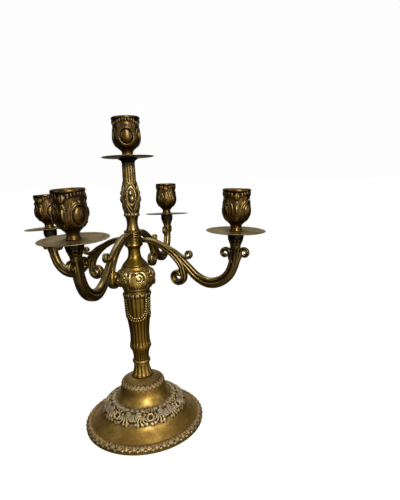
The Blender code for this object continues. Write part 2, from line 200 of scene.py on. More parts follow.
class Turning:
    """A turned surface: a dense outline, the distance up along it, and the relief that is raised on it."""

    def __init__(self, points, segments):
        self.points = points
        self.radius = points[:, 0]
        self.along = np.concatenate([[0], np.cumsum(np.linalg.norm(np.diff(points, axis=0), axis=1))])
        self.theta = np.arange(segments) * TAU / segments
        self.height = np.zeros((len(points), segments))
        self.dust = np.zeros((len(points), segments))
        # Painted shade, row by row: how much darker each row is painted where shade falls
        self.painted_shade = np.zeros((len(points), 1))

    def along_at(self, z):
        """Distance along the outline where it first reaches height z."""
        heights = np.maximum.accumulate(self.points[:, 1])
        return float(np.interp(z, heights, self.along))

    def around(self, count, z, phase_deg=0.0, x0=0.0, y0=0.0, turn_deg=0.0):
        """x and y in mm from the nearest of count spots round the piece, x0 aside and y0 above height z."""
        start = self.along_at(z)
        radius = float(np.interp(start, self.along, self.radius))
        cell = TAU / count
        middle = math.radians(phase_deg) + x0 / radius
        x = ((self.theta - middle + cell / 2) % cell - cell / 2)[None, :] * radius
        y = (self.along - start - y0)[:, None]
        turn = math.radians(turn_deg)
        return x * math.cos(turn) + y * math.sin(turn), -x * math.sin(turn) + y * math.cos(turn)

    def raise_by(self, relief):
        """Raises the surface to the relief, wherever there is any."""
        self.height = np.where(relief > 0, np.maximum(self.height, relief), self.height)

    def dust_between(self, low, high, share):
        """Lets dust lie in the relief between two heights."""
        self.dust = np.maximum(self.dust, share * self.between(low, high, 0.8))

    def paint_shade_between(self, low, high, share, fade=1.5):
        """Paints shade between two heights, darkening the surface where shade falls under or between parts."""
        self.painted_shade = np.maximum(self.painted_shade, share * self.between(low, high, fade))

    def between(self, low, high, fade):
        """1 between two heights, falling to 0 over the fade outside them."""
        low, high = self.along_at(low), self.along_at(high)
        up = np.clip((self.along - low) / fade + 1, 0, 1)
        down = np.clip((high - self.along) / fade + 1, 0, 1)
        return (up * down)[:, None]

    def reeds(self, count, depth, low, high, phase_deg, fade):
        """Rounded reeds side by side, cut to the depth between two heights."""
        cell = TAU / count
        across = ((self.theta - math.radians(phase_deg) + cell / 2) % cell - cell / 2) / (cell / 2)
        cut = depth * (np.sqrt(np.clip(1 - across**2, 0, 1)) - 1)[None, :]
        self.height = self.height + cut * self.between(low, high, fade)

    def surface(self):
        """Points of the raised surface, row by row, and how proud each one is of what surrounds it, lowered by the
        painted shade.
        """
        sideways = normals_of(self.points)
        reach = self.points[:, :1] + self.height * sideways[:, :1]
        z = self.points[:, 1:] + self.height * sideways[:, 1:]
        spots = np.stack([reach * np.cos(self.theta), reach * np.sin(self.theta), z], axis=2)
        # The painted shade lowers how proud a point looks, so that it takes the darker colours
        proud = np.clip(proudness(self.height) - self.painted_shade, 0, 1)
        return spots, np.stack([proud, self.dust], axis=2)

    def plain_rows(self, points):
        """The rows that (radius, height) points make round the piece, without relief."""
        points = np.array(points, float).reshape(-1, 2)
        reach, z = points[:, :1], points[:, 1:]
        return np.stack([reach * np.cos(self.theta), reach * np.sin(self.theta), z + 0 * self.theta], axis=2)


def proudness(height):
    """0 in the depth of a relief, 1 on its crests and 0.5 on plain ground."""
    reach, full = 5, 0.75
    blurred = sum(np.roll(height, k, axis=1) for k in range(-reach, reach + 1)) / (2 * reach + 1)
    padded = np.pad(blurred, ((reach, reach), (0, 0)), mode="edge")
    rows = len(height)
    blurred = sum(padded[k : k + rows] for k in range(2 * reach + 1)) / (2 * reach + 1)
    return np.clip(0.5 + 0.5 * (height - blurred) / full, 0, 1)


# ---- meshes


def shell(rows, proud, seat, loop=True):
    """Points and faces of a surface whose rows run round. Its ends join each other, or close to a point each.

    proud holds how proud each point is, and how dusty where it has a second column. seat is a matrix in
    millimetres that puts the shell in place.
    """
    count, around = rows.shape[:2]
    spots = rows.reshape(-1, 3)
    if proud.ndim == 2:
        proud = np.stack([proud, 0 * proud], axis=2)
    index = np.arange(count * around).reshape(count, around)
    low, high = index[:-1], index[1:]
    if loop:
        low, high = index, np.roll(index, -1, axis=0)
    quads = np.stack([low, np.roll(low, -1, axis=1), np.roll(high, -1, axis=1), high], axis=-1)
    faces = quads.reshape(-1, 4).tolist()
    values = proud.reshape(-1, 2)
    if not loop:
        first, last = len(spots), len(spots) + 1
        spots = np.concatenate([spots, rows[0].mean(0)[None], rows[-1].mean(0)[None]])
        values = np.concatenate([values, [proud[0].mean(0), proud[-1].mean(0)]])
        faces += [[first, int(b), int(a)] for a, b in zip(index[0], np.roll(index[0], -1))]
        faces += [[last, int(a), int(b)] for a, b in zip(index[-1], np.roll(index[-1], -1))]
    turn = np.array(seat)
    return spots @ turn[:3, :3].T + turn[:3, 3], faces, values


def show(node, shells, material):
    """Puts the shells in place of a node, as one piece that rides on the node's body."""
    start, spots, faces, values = 0, [], [], []
    for points, polygons, proud in shells:
        spots.append(points)
        values.append(proud)
        faces += [[corner + start for corner in polygon] for polygon in polygons]
        start += len(points)
    mesh = bpy.data.meshes.new(f"{node}_cast")
    mesh.from_pydata((np.concatenate(spots) * MM).tolist(), [], faces)
    mesh.shade_smooth()
    values = np.concatenate(values).astype(np.float32)
    # The relief attribute also carries the painted shade
    for column, name in enumerate(("relief", "dust")):
        mesh.attributes.new(name, "FLOAT", "POINT").data.foreach_set("value", values[:, column].copy())
    mesh.materials.append(material)
    piece = bpy.data.objects.new(f"{node}_cast", mesh)
    bpy.context.scene.collection.objects.link(piece)
    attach(piece, BODY_OF[node])
    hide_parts(node)


def seat_of(node):
    """The place on the column's axis where a node's foot stands."""
    return Matrix.Translation((0, 0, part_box(node)[0].z / MM))


def show_turned(node, turning, bore, material):
    """Shows a bored piece on the column's axis. Its bore is listed from the top down, bare of relief."""
    outer, proud = turning.surface()
    inner = turning.plain_rows(bore)
    proud = np.concatenate([proud, np.full((*inner.shape[:2], 2), (0.45, 0.0))])
    show(node, [shell(np.concatenate([outer, inner]), proud, seat_of(node))], material)


# ---- materials


class Nodes:
    """Adds nodes to a tree, each fed by other nodes' sockets or by plain values."""

    def __init__(self, tree):
        self.tree = tree

    def feed(self, socket, value):
        """Links a socket to another one, or sets it to a value. A colour is given as red, green and blue."""
        if isinstance(value, bpy.types.NodeSocket):
            self.tree.links.new(value, socket)
        elif socket.type == "RGBA":
            socket.default_value = (*value, 1.0)
        else:
            socket.default_value = value

    def add(self, kind, inputs=None, **settings):
        """A new node. Its inputs are given by name or, as a list, in their order."""
        node = self.tree.nodes.new(kind)
        for key, value in settings.items():
            setattr(node, key, value)
        pairs = inputs.items() if isinstance(inputs, dict) else enumerate(inputs or [])
        for key, value in pairs:
            self.feed(node.inputs[key], value)
        return node

    def maths(self, operation, *terms):
        return self.add("ShaderNodeMath", list(terms), operation=operation).outputs["Value"]

    def mix(self, share, one, two):
        """A colour that goes from one to two as the share goes from 0 to 1."""
        inputs = {"Factor": share, "A": one, "B": two}
        return self.add("ShaderNodeMix", inputs, data_type="RGBA").outputs["Result"]

    def ramp(self, source, low, high, to_low=0.0, to_high=1.0):
        """A smooth step from to_low to to_high, as the source goes from low to high."""
        inputs = {"Value": source, "From Min": low, "From Max": high, "To Min": to_low, "To Max": to_high}
        return self.add("ShaderNodeMapRange", inputs, interpolation_type="SMOOTHSTEP").outputs["Result"]

    def noise(self, scale, detail, roughness=0.6):
        where = self.add("ShaderNodeTexCoord").outputs["Object"]
        inputs = {"Vector": where, "Scale": scale, "Detail": detail, "Roughness": roughness}
        return self.add("ShaderNodeTexNoise", inputs).outputs["Fac"]

    def attribute(self, name):
        return self.add("ShaderNodeAttribute", attribute_name=name).outputs["Fac"]


def new_material(name):
    """A material with its nodes and its shader's inputs."""
    material = bpy.data.materials.new(name)
    material.use_nodes = True
    return material, Nodes(material.node_tree), material.node_tree.nodes["Principled BSDF"].inputs


def brass(name, main, bright, recess_and_shade, roughness, coat=0.25, grain=0.25, tarnish=0.4):
    """Aged brass: tarnished in patches, rubbed bright on crests, dark with patina in deep relief and with painted
    shade where the relief attribute holds it, dusty in places.
    """
    material, nodes, inputs = new_material(name)
    maths, mix, ramp, noise = nodes.maths, nodes.mix, nodes.ramp, nodes.noise
    patches = noise(45.0, 4)
    speckle = noise(700.0, 3)
    # The relief attribute holds how proud the surface is, lowered by the painted shade
    uneven = maths("ADD", nodes.attribute("relief"), maths("MULTIPLY", maths("SUBTRACT", speckle, 0.5), 0.08))
    laid = nodes.attribute("dust")
    depth = maths("MULTIPLY", ramp(uneven, 0.50, 0.22), ramp(laid, 0.0, 1.0, 1.0, 0.9))
    tarnished = tuple((1 - tarnish * share) * value for share, value in zip((0.95, 1.05, 1.15), main))
    colour = mix(ramp(patches, 0.36, 0.66), main, tarnished)
    colour = mix(ramp(noise(150.0, 6, 0.75), 0.46, 0.66, 0.0, 0.9), colour, tarnished)
    colour = mix(ramp(uneven, 0.56, 0.86), colour, bright)
    # The recess colour paints both the patina in deep relief and the painted shade
    colour = mix(depth, colour, recess_and_shade)
    drifts = maths("MULTIPLY", ramp(uneven, 0.30, 0.56), ramp(noise(170.0, 3), 0.36, 0.60, 0.45, 1.0))
    drifts = maths("MULTIPLY", drifts, ramp(uneven, 0.80, 1.0, 1.0, 0.45))
    dusty = maths("MULTIPLY", drifts, laid)
    nodes.feed(inputs["Base Color"], mix(dusty, colour, DUST))
    nodes.feed(inputs["Metallic"], ramp(dusty, 0.0, 1.0, 1.0, 0.1))
    inputs["Coat Weight"].default_value = coat
    inputs["Coat Roughness"].default_value = 0.22
    inputs["Coat IOR"].default_value = 1.8
    rough = ramp(patches, 0.35, 0.70, roughness - 0.05, roughness + 0.10)
    rough = maths("ADD", rough, maths("MULTIPLY", depth, 0.25))
    rough = maths("ADD", rough, ramp(speckle, 0.35, 0.65, -0.05, 0.05))
    nodes.feed(inputs["Roughness"], rough)
    scratches = {"Strength": grain, "Distance": 0.12 * MM, "Height": maths("ADD", speckle, noise(260.0, 2))}
    nodes.feed(inputs["Normal"], nodes.add("ShaderNodeBump", scratches).outputs["Normal"])
    return material


def plain_metal(name, dark, light):
    """Plain turned metal with faint scratches, for what is hidden or unworked."""
    material, nodes, inputs = new_material(name)
    streaks = nodes.add("ShaderNodeTexNoise", {"Scale": 300.0, "Detail": 4.0}).outputs["Fac"]
    rough = nodes.add("ShaderNodeMapRange", {"Value": streaks, "To Min": 0.3, "To Max": 0.6})
    nodes.feed(inputs["Base Color"], nodes.mix(streaks, dark, light))
    nodes.feed(inputs["Roughness"], rough.outputs["Result"])
    inputs["Metallic"].default_value = 1.0
    return material


DUST = (0.33, 0.31, 0.25)
BASE_BRASS = brass(
    "base_brass",
    main=(0.60, 0.395, 0.100),
    bright=(0.82, 0.64, 0.28),
    recess_and_shade=(0.045, 0.024, 0.006),
    roughness=0.50,
    coat=0.1,
    tarnish=0.52,
)
COLUMN_BRASS = brass(
    "column_brass",
    main=(0.37, 0.23, 0.025),
    bright=(0.58, 0.46, 0.19),
    recess_and_shade=(0.045, 0.020, 0.001),
    roughness=0.36,
    coat=0.2,
)
# A paler, brighter copy of the column's brass for the knop, skirt and ring: painted light, as where they face the
# window
BRASS_PAINTED_LIT = brass(
    "brass_painted_lit",
    main=(0.56, 0.38, 0.085),
    bright=(0.84, 0.72, 0.38),
    recess_and_shade=(0.090, 0.050, 0.008),
    roughness=0.42,
    coat=0.2,
)
# A darker, browner copy of the column's brass for the upper stem: its darkness is painted shade
BRASS_PAINTED_SHADE = brass(
    "brass_painted_shade",
    main=(0.30, 0.20, 0.050),
    bright=(0.56, 0.47, 0.23),
    recess_and_shade=(0.016, 0.008, 0.001),
    roughness=0.36,
)
ARM_BRASS = brass(
    "arm_brass",
    main=(0.37, 0.25, 0.052),
    bright=(0.54, 0.44, 0.20),
    recess_and_shade=(0.006, 0.003, 0.0005),
    roughness=0.34,
)
CUP_BRASS = brass(
    "cup_brass",
    main=(0.175, 0.098, 0.010),
    bright=(0.38, 0.28, 0.11),
    recess_and_shade=(0.008, 0.004, 0.0006),
    roughness=0.30,
)
PAN_BRASS = brass(
    "pan_brass",
    main=(0.40, 0.31, 0.135),
    bright=(0.54, 0.45, 0.24),
    recess_and_shade=(0.14, 0.10, 0.045),
    roughness=0.48,
    coat=0.05,
    grain=0.5,
    tarnish=0.5,
)
WASHER_BRASS = plain_metal("washer_brass", (0.16, 0.11, 0.03), (0.34, 0.25, 0.09))
STEEL = plain_metal("fastener_steel", (0.30, 0.29, 0.27), (0.50, 0.49, 0.47))


# ---- base


def base_surface():
    """The stamped base: rim of leaves, plain skirt, wreath, plain bell, chevrons and dome."""
    outer = outline(
        [(68.4, 0.0), (71.9, 0.0)],
        [(71.9, 0.0), (71.9, 3.4)],
        [(71.9, 3.4), (71.2, 4.6), (68.6, 6.4), (64.8, 7.6)],
        [(64.8, 7.6), (58.0, 13.0), (53.2, 17.2), (51.0, 20.2)],
        [(51.0, 20.2), (49.6, 22.6), (46.2, 26.5), (41.8, 30.1), (37.8, 31.8), (34.0, 32.2)],
        [(34.0, 32.2), (29.9, 37.2), (27.6, 42.4), (26.6, 48.8), (25.2, 51.9), (22.0, 54.8), (17.5, 57.7),
         (13.0, 59.1)],
        [(13.0, 59.1), (BORE_R, 59.2)],
        step=0.3,
        soften=3,
    )
    outer[:, 1] = np.maximum(outer[:, 1], 0.0)
    base = Turning(spaced(outer, ((0, 8.2, 0.5), (18.5, 32.1, 0.46), (49.5, 55.5, 0.42)), 1.3), 560)
    base.raise_by(rim_leaves(base))
    base.raise_by(wreath(base))
    base.raise_by(chevrons(base))
    base.dust_between(4.0, 7.4, 0.40)
    base.dust_between(24.5, 33.2, 0.85)
    base.dust_between(20.5, 31.9, 0.45)
    dome_top = 59.3
    base.dust_between(50.5, dome_top, 0.38)
    # Painted shade: the dome's top is darkened, most on the flat where the skirt stands, as a contact shadow
    base.paint_shade_between(53.5, dome_top, 0.07)
    base.paint_shade_between(59.03, dome_top, 0.22)
    return base


def rim_leaves(base):
    """Upright leaves round the rim with slanted ribs between them, over a row of buds."""
    count = 52
    half_cell = math.pi * 71.0 / count
    x, y = base.around(count, 3.7)
    relief = leaf(x, y, 7.4, 4.0, 1.3, veins=0.0)
    for hand in (-1, 1):
        for near, low, high in ((2.3, 0.6, 6.8), (3.5, 2.6, 7.4)):
            middle = 0.5 * (low + high)
            slant = [(hand * near, low), (hand * (near + 0.5), middle), (hand * (near - 0.4), high)]
            relief = np.maximum(relief, stroke(x, y, slant, 0.65, 1.0))
    return np.maximum(relief, dome(*base.around(count, 4.2, 0, half_cell), 1.3, 1.5, 1.1))


def wreath(base):
    """Flowers between fans of ribbed leaves, over a fringe of leaf tips and under a row of upright ones."""
    count, z, phase = 7, 27.0, FRONT_DEG + 7
    half_cell = math.pi * 44.0 / count
    x, y = base.around(count, z, phase)
    away, turn = np.hypot(x, y), np.arctan2(y, x)
    relief = ridge(away - 3.6 - 0.35 * np.cos(6 * turn), 1.35, 1.9) + ridge(away - 3.7, 0.5, 0.3)
    for k in range(9):
        aim = TAU * (k + 0.5) / 9
        rib = [polar(5.4, aim), polar(8.4 + 1.1 * math.sin(5.0 * k), aim + 0.18)]
        relief = np.maximum(relief, stroke(x, y, rib, 0.9, 1.3))
    for side in (-1, 1):
        for root_x, root_y, lean_deg, ribs, reach in ((8.0, 5.0, 145, 7, 13.5), (19.0, 6.5, 205, 5, 12.0)):
            x, y = base.around(count, z, phase, side * root_x, root_y)
            for k in range(ribs):
                off_middle = k - (ribs - 1) / 2
                aim = math.radians(90 - lean_deg - 19 * off_middle)
                length = reach * (1 - 0.09 * abs(off_middle))
                rib = [polar(0.2 * length, aim), polar(0.65 * length, aim + 0.12), polar(length, aim - 0.1)]
                relief = np.maximum(relief, stroke(x * side, y, rib, 1.05, 1.7))
        for x0, y0, turn_deg in ((7.5, 8.0, 62), (13.5, 8.6, 80), (10.0, 1.5, 70)):
            spot = base.around(count, z, phase, side * x0, y0, -side * turn_deg)
            relief = np.maximum(relief, leaf(*spot, 6.5, 3.6, 1.3, veins=0.5, lobes=3))
    x, y = base.around(count, z, phase, half_cell, -1.0)
    relief = np.maximum(relief, ridge(np.hypot(x, y) - 2.0, 1.2, 1.7))
    for k in range(-5, 6):
        x0, low = 3.55 * k + 0.8 * math.sin(2.3 * k), 24.0 + 0.9 * math.sin(3.1 * k)
        tip = base.around(count, low, phase, x0, 0, 180 + 24 * math.sin(1.9 * k + 1))
        relief = np.maximum(relief, leaf(*tip, 5.2 + 1.3 * math.cos(1.7 * k), 3.3, 1.4, veins=0.2, lobes=2))
        crown = base.around(count, z, phase, x0, 6.6 + 0.6 * math.cos(2.1 * k), 26 * math.sin(2.7 * k))
        relief = np.maximum(relief, leaf(*crown, 6.6 + 0.8 * math.sin(3.7 * k), 3.4, 1.3, veins=0.3, lobes=2))
    return relief


def chevrons(base):
    """A band of three zigzag lines on the shoulder."""
    count, radius, tall, slant = 30, 25.2, 3.2, 0.62
    x, y = base.around(count, 52.6, FRONT_DEG + 5)
    line = tall * (np.abs(x) / (math.pi * radius / count) - 0.5)
    relief = 0
    for shift, height in ((-1.8, 0.65), (0.0, 0.95), (1.8, 0.65)):
        relief = np.maximum(relief, ridge((y - line - shift) * slant, 0.5, height))
    return relief * np.clip(3.6 - np.abs(y), 0, 1)


def build_base():
    """The base with its wall. The inside of the wall has every fifth point of the outside, without relief."""
    base = base_surface()
    top_z = base.points[-1, 1]
    inside = base.points - SHELL_WALL * normals_of(base.points)
    hidden = inside[(base.points[:, 1] > 7) & (base.points[:, 0] > 8)][::-5]
    rim_foot = (68.4, 3.2)
    show_turned("base_shell", base, [(BORE_R, top_z - SHELL_WALL), *hidden, rim_foot], BASE_BRASS)


# ---- column


def build_skirt_and_ring():
    skirt = Turning(
        outline(
            [(BORE_R, 0), (12.4, 0)],
            [(12.4, 0), (12.3, 1.6), (11.1, 5), (9.8, 10), (9.4, 15.8)],
            [(9.4, 15.8), (BORE_R, 15.8)],
            step=0.4,
        ),
        segments=224,
    )
    skirt.reeds(11, 1.6, 0.4, 13.8, FRONT_DEG + 8, fade=1.2)
    show_turned("column_skirt", skirt, [], BRASS_PAINTED_LIT)
    ring = Turning(
        outline(
            [(BORE_R, 0), (9.7, 0)],
            [(9.7, 0), (10.6, 0.9), (10.9, 2.3), (10.7, 3.8), (9.8, 4.8)],
            [(9.8, 4.8), (BORE_R, 4.8)],
            step=0.4,
        ),
        segments=128,
    )
    show_turned("column_ring", ring, [], BRASS_PAINTED_LIT)


def garlands(column):
    """Three festoons of two rows of beads, hung from just under the collar."""
    count, top, spacing = 3, 79.5, 2.9
    relief = np.zeros_like(column.height)
    for row, size in ((0.0, 1.3), (3.0, 1.15)):
        half_width, drop = 13.6 + row, 25.0 + row
        last = (math.inf, math.inf)
        for turn in np.linspace(0, math.pi, 600):
            x = half_width * math.copysign(abs(math.cos(turn)) ** 0.7, math.cos(turn))
            z = top - drop * math.sin(turn) ** 0.8
            if math.dist((x, z), last) > spacing:
                last = (x, z)
                bead = dome(*column.around(count, z, FRONT_DEG - 9, x), size, size, 0.85)
                relief = np.maximum(relief, bead)
    return relief


def build_column():
    column = Turning(
        outline(
            [(BORE_R, 0), (9.2, 0)],
            [(9.2, 0), (9.4, 3.5), (10.2, 9), (11.5, 12.8), (12.6, 15.0), (12.7, 16.6), (12.2, 19.4)],
            [(12.2, 19.4), (11.8, 24.0), (11.7, 33), (12.7, 43.4), (14.4, 55), (15.3, 68), (15.7, 77),
             (15.8, 79.5)],
            [(15.8, 79.5), (16.2, 81.0), (16.3, 83.2), (15.7, 84.2)],
            [(15.7, 84.2), (15.4, 85.2), (15.2, 86.7)],
            [(15.2, 86.7), (BORE_R, 86.7)],
            step=0.42,
        ),
        segments=272,
    )
    count = 16
    column.reeds(count, 1.1, 1.5, 12.4, FRONT_DEG, fade=2.0)
    column.reeds(count, 1.1, 16.0, 83.0, FRONT_DEG, fade=1.0)
    x, y = column.around(count, 16.6, FRONT_DEG)
    column.raise_by(dome(x, y - 1.2, 2.2, 4.6, 0.35))
    tongue = column.around(count, 84.4, FRONT_DEG, turn_deg=180)
    column.raise_by(leaf(*tongue, 6.5, 5.4, 0.8, veins=0.0))
    column.raise_by(garlands(column))
    # Painted shade on the collar, under the knop
    column.paint_shade_between(84.0, 86.7, 0.14)
    column.dust_between(77.5, 84.5, 0.25)
    bore = [(BORE_R, 82.7), (11.4, 80.2), (11.2, 60), (8.4, 34), (8.4, 16), (BORE_R, 8)]
    show_turned("lower_column", column, bore, COLUMN_BRASS)


def build_knop():
    knop = Turning(
        outline(
            [(BORE_R, 0), (15.0, 0)],
            [(15.0, 0), (16.2, 0.8), (16.4, 1.9), (15.9, 2.9)],
            [(15.9, 2.9), (18.4, 5.4), (20.6, 9.0), (21.3, 14.5), (20.6, 19.8), (18.6, 24.2), (16.2, 26.8)],
            [(16.2, 26.8), (16.4, 27.8), (15.4, 29.1)],
            [(15.4, 29.1), (BORE_R, 29.1)],
            step=0.45,
        ),
        segments=300,
    )
    count, middle = 4, 14.6
    for phase, shapes in ((FRONT_DEG + 6, acanthus), (FRONT_DEG - 39, rosette)):
        knop.raise_by(shapes(knop, count, middle, phase))
    knop.raise_by(leaf(*knop.around(20, 23.0, FRONT_DEG), 3.4, 4.4, 0.6, veins=0.0))
    # Painted shade on the foot ring, under the knop's bulge
    knop.paint_shade_between(0.0, 2.6, 0.16)
    bore = [(BORE_R, 26.1), (14.5, 23.6), (18.0, 15.5), (15.5, 6), (BORE_R, 3)]
    show_turned("knop", knop, bore, BRASS_PAINTED_LIT)


def acanthus(turning, count, z, phase):
    """A disc cut with a spiral, on broad flat lobes that end in points, between long slanted leaves."""
    x, y = turning.around(count, z, phase)
    plates = np.maximum(facet(x + 5.2, y + 1.5, 3.6, 8.0, 1.6), facet(x - 6.6, y + 4.6, 4.2, 4.4, 1.4))
    relief = plates * np.clip(0.75 - 0.06 * y, 0.4, 1.2)
    for x0, turn_deg, length, width in ((-0.8, 172, 12.5, 7.0), (3.4, 160, 10.5, 5.0), (-4.6, 190, 9.5, 5.5)):
        spot = turning.around(count, z, phase, x0, 1.0, turn_deg)
        lobe = np.minimum(leaf(*spot, length, width, 4.2, veins=0.0), 0.5 + 0.27 * spot[1])
        relief = np.maximum(relief, lobe)
    for path, width in (
        ([(3.6, 9.8), (7.2, 7.6), (8.8, 3.0), (9.6, -3.0)], 1.7),
        ([(7.4, 9.6), (10.8, 6.0), (12.2, 0.5), (12.4, -6.0)], 1.7),
        ([(-9.0, 9.0), (-9.6, 2.0), (-9.2, -8.0)], 1.5),
        ([(-6.6, 9.2), (-2.0, 8.6), (2.6, 9.4)], 1.4),
    ):
        relief = np.maximum(relief, stroke(x, y, path, width, 1.7))
    x, y = turning.around(count, z, phase, 0.8, 2.6)
    disc = facet(x, y, 5.0, 4.9, 2.0)
    turn = np.radians(np.arange(150, 471, 20))
    winding = 3.6 - 0.33 * (turn - turn[0])
    spiral = np.stack([winding * np.cos(turn), winding * np.sin(turn)], axis=1)
    return np.where(disc > 0, disc - stroke(x, y, spiral, 0.8, 1.4), relief)


def rosette(turning, count, z, phase):
    """A flower of broad petals over a spray of leaves."""
    flower_y = 3.4
    relief = dome(*turning.around(count, z, phase, 0, flower_y), 1.8, 1.8, 1.9)
    for k in range(5):
        aim = TAU * (k + 0.3) / 5
        up, aside = polar(1.4, aim)
        spot = turning.around(count, z, phase, aside, flower_y + up, -math.degrees(aim))
        relief = np.maximum(relief, np.minimum(leaf(*spot, 6.2, 5.2, 2.6, veins=0.0), 1.5))
    for turn_deg, length in ((130, 9.0), (165, 10.5), (200, 10.5), (235, 9.0)):
        up, aside = polar(3.6, math.radians(turn_deg))
        spot = turning.around(count, z, phase, aside, 1.4 + up, -turn_deg)
        blade = np.minimum(leaf(*spot, length, 5.0, 3.0, veins=0.0), 0.6 + 0.15 * spot[1])
        relief = np.maximum(relief, blade)
    return relief


def build_spool():
    spool = Turning(
        outline(
            [(BORE_R, 0), (14.8, 0)],
            [(14.8, 0), (15.2, 0.8), (14.6, 1.7)],
            [(14.6, 1.7), (12.8, 3.8), (8.4, 9.4), (7.2, 15.4), (7.6, 20.5), (9.6, 22.8)],
            [(9.6, 22.8), (10.6, 23.4), (10.8, 24.6), (10.2, 25.6)],
            [(10.2, 25.6), (10.4, 26.2), (BORE_R, 26.2)],
            step=0.4,
        ),
        segments=144,
    )
    show_turned("neck_spool", spool, [], COLUMN_BRASS)


def medallion(stem, count, z, phase):
    """An oval frame round two bosses, with long leaves that sweep past it on both sides."""
    x, y = stem.around(count, z, phase)
    relief = hoop(x, y - 1.5, 5.0, 10.5, 1.0, 1.0)
    for path, width, height in (
        ([(-5.6, 2.0), (-5.0, -6.0), (-1.6, -12.0), (1.6, -17.0)], 1.25, 1.6),
        ([(-7.4, -1.0), (-6.6, -8.5), (-3.9, -14.0), (-1.2, -18.0)], 1.2, 1.4),
        ([(-7.8, -8.0), (-6.4, -13.0), (-4.2, -17.5)], 1.1, 1.1),
        ([(5.4, 0.0), (5.2, -7.0), (3.8, -12.0), (3.0, -17.0)], 1.25, 1.4),
        ([(7.6, -3.0), (7.2, -10.0), (5.6, -16.0)], 1.1, 1.1),
        ([(-6.8, 7.0), (-4.6, 13.0), (-0.9, 17.5)], 1.1, 0.9),
        ([(6.8, 6.0), (4.6, 12.6), (1.5, 17.5)], 1.1, 0.9),
    ):
        relief = np.maximum(relief, stroke(x, y, path, width, height))
    for x0, y0, wide, tall, height in ((0.8, -2.4, 2.5, 4.2, 2.1), (-0.9, 5.2, 2.0, 3.0, 1.5)):
        relief = np.maximum(relief, dome(x - x0, y - y0, wide, tall, height))
    return relief


def build_stem():
    stem = Turning(
        outline(
            [(BORE_R, 0), (8.0, 0)],
            [(8.0, 0), (7.9, 0.8), (6.9, 3.2), (6.3, 8.5), (6.8, 13), (7.6, 15.6)],
            [(7.6, 15.6), (8.5, 17.0), (8.4, 18.6), (7.9, 20.0)],
            [(7.9, 20.0), (8.3, 23.4), (9.4, 30.3), (10.3, 37), (10.2, 41.5), (9.2, 47.3), (7.9, 53.6),
             (7.5, 66), (7.3, 76.8)],
            [(7.3, 76.8), (8.4, 79.0), (10.9, 80.5), (11.2, 81.6)],
            [(10.7, 81.6), (STUD_HOLE_R, 81.6)],
            step=0.4,
        ),
        segments=224,
    )
    stem.reeds(12, 0.9, 54.5, 77.5, FRONT_DEG, fade=3.5)
    phase = FRONT_DEG + 5
    stem.raise_by(medallion(stem, 4, 38.0, phase))
    spot = stem.around(12, 21.0, phase, turn_deg=180)
    stem.raise_by(leaf(*spot, 5.0, 3.9, 0.9, veins=0.0))
    # Painted shade on the stem's top, under the top pan
    stem.paint_shade_between(74.5, 81.6, 0.30, fade=5.0)
    bore = [(STUD_HOLE_R, 74.3), (1.2, 74.2), (1.2, 22.4), (BORE_R, 22.3)]
    show_turned("upper_stem", stem, bore, BRASS_PAINTED_SHADE)


# ---- pans and cups


def pan_shell(radius, seat, seed):
    """A thin pan with a line pressed near its edge. It is a little uneven, as thin sheet gets."""
    pan = Turning(
        outline(
            [(STUD_HOLE_R, 0), (radius - 8, 0.15), (radius - 1.4, 0.7), (radius - 0.2, 1.2)],
            [(radius - 0.2, 1.2), (radius, 1.5), (radius - 0.2, 1.85), (radius - 0.7, 1.8)],
            [(radius - 0.7, 1.8), (radius - 5.5, 1.45), (radius - 12, 1.1), (STUD_HOLE_R, PAN_THICK)],
            step=0.7,
        ),
        segments=168,
    )
    spots, proud = pan.surface()
    reach = np.hypot(spots[..., 0], spots[..., 1])
    top = pan.points[:, 1:] > PAN_THICK - 0.05

    def band(middle, width):
        """1 at a distance from the axis, falling off over the width to both sides."""
        return np.exp(-(((reach - middle) / width) ** 2))

    groove = band(radius - 5.2, 0.45) * top
    draw = np.random.default_rng(seed).uniform(0, TAU, 4)
    sway = sum(np.sin((k + 2) * pan.theta + draw[k]) * 0.10 / (k + 1) for k in range(4))
    spots[..., 2] += sway[None, :] * (reach / radius) ** 2 - 0.22 * groove
    # Painted shade on the pan's top round the cup's foot
    shade_round_foot = 0.22 * band(7.5, 5.5) * top
    bright_edge = 0.25 * band(radius - 0.5, 0.8)
    proud = np.clip(proud[..., 0] - 0.35 * groove - shade_round_foot + bright_edge, 0, 1)
    return shell(spots, proud, seat)


def cup_outline(slimming):
    """The cup's outside, from its foot up and over the lip to the socket."""
    outer = outline(
        [(STUD_HOLE_R / slimming, 0), (7.3, 0)],
        [(7.3, 0), (7.6, 0.6), (7.3, 1.4)],
        [(7.3, 1.4), (6.3, 2.8), (6.4, 5.0), (7.2, 6.6)],
        [(7.2, 6.6), (8.8, 8.0), (12.6, 12.0), (14.8, 17.0), (15.1, 22.0), (14.9, 28.0), (14.9, 33.0),
         (14.9, 37.0), (15.2, 39.9)],
        [(15.1, 39.9), (15.8, 40.4), (16.1, 41.5), (15.7, 42.6), (14.8, CUP_HEIGHT),
         (13.8, CUP_HEIGHT - 0.3)],
        [(13.8, CUP_HEIGHT - 0.3), (13.4, CUP_HEIGHT - 0.8)],
        step=0.4,
    )
    outer[:, 0] *= slimming
    return outer


